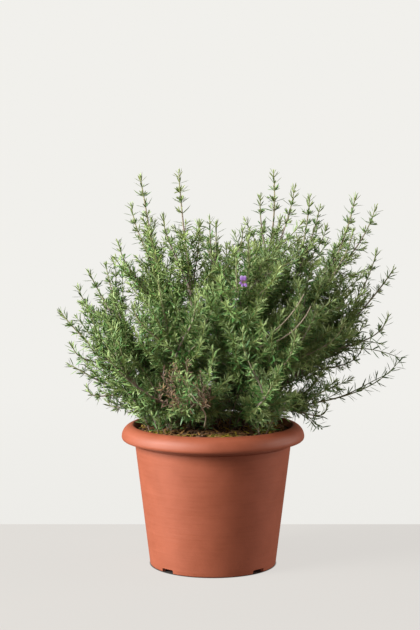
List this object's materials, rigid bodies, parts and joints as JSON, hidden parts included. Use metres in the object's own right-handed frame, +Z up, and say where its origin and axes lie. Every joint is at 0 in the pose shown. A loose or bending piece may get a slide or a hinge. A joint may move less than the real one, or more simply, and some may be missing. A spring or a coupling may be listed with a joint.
{
  "type": "potted coastal rosemary",
  "caption": "Bushy coastal rosemary with narrow grey-green leaves and a lilac flower, in a terracotta-coloured rolled-rim nursery pot.",
  "frame": {"origin": "on the floor, on the pot's axis, in the middle of the flat underside of the pot's floor", "axes": "+Z up along the pot's axis; -Y to the side seen from the front; X across the front"},
  "size_m": [0.4036, 0.3079, 0.4702],
  "materials": {
    "terracotta_plastic": "satin",
    "potting_mix": "matte",
    "moss": "matte",
    "bark": "matte",
    "twig": "matte",
    "foliage": "matte",
    "calyx": "matte",
    "petal": "matte"
  },
  "bodies": {
    "root": {"pot": "terracotta_plastic", "pot_rim": "terracotta_plastic", "potting_mix": "potting_mix", "moss_cushion_left": "moss", "moss_cushion_front": "moss", "moss_cushion_right": "moss", "stock_left": "bark", "stock_middle": "bark", "stock_right": "bark", "stem_01": "twig", "stem_02": "twig", "stem_03": "twig", "stem_04": "twig", "stem_05": "twig", "stem_06": "twig", "stem_07": "twig", "stem_08": "twig", "stem_09": "twig", "stem_10": "twig", "stem_11": "twig", "stem_12": "twig", "stem_13": "twig", "stem_14": "twig", "stem_15": "twig", "stem_16": "twig", "stem_17": "twig", "stem_18": "twig", "stem_19": "twig", "stem_20": "twig", "stem_21": "twig", "stem_22": "twig", "stem_23": "twig", "stem_24": "twig", "leaf_plume_01": "foliage", "leaf_plume_02": "foliage", "leaf_plume_03": "foliage", "leaf_plume_04": "foliage", "leaf_plume_05": "foliage", "leaf_plume_06": "foliage", "leaf_plume_07": "foliage", "leaf_plume_08": "foliage", "leaf_plume_09": "foliage", "leaf_plume_10": "foliage", "leaf_plume_11": "foliage", "leaf_plume_12": "foliage", "leaf_plume_13": "foliage", "leaf_plume_14": "foliage", "leaf_plume_15": "foliage", "leaf_plume_16": "foliage", "leaf_plume_17": "foliage", "leaf_plume_18": "foliage", "leaf_plume_19": "foliage", "leaf_plume_20": "foliage", "leaf_plume_21": "foliage", "leaf_plume_22": "foliage", "leaf_plume_23": "foliage", "leaf_plume_24": "foliage", "flower_calyx": "calyx", "flower_corolla": "petal"}
  },
  "joints": []
}
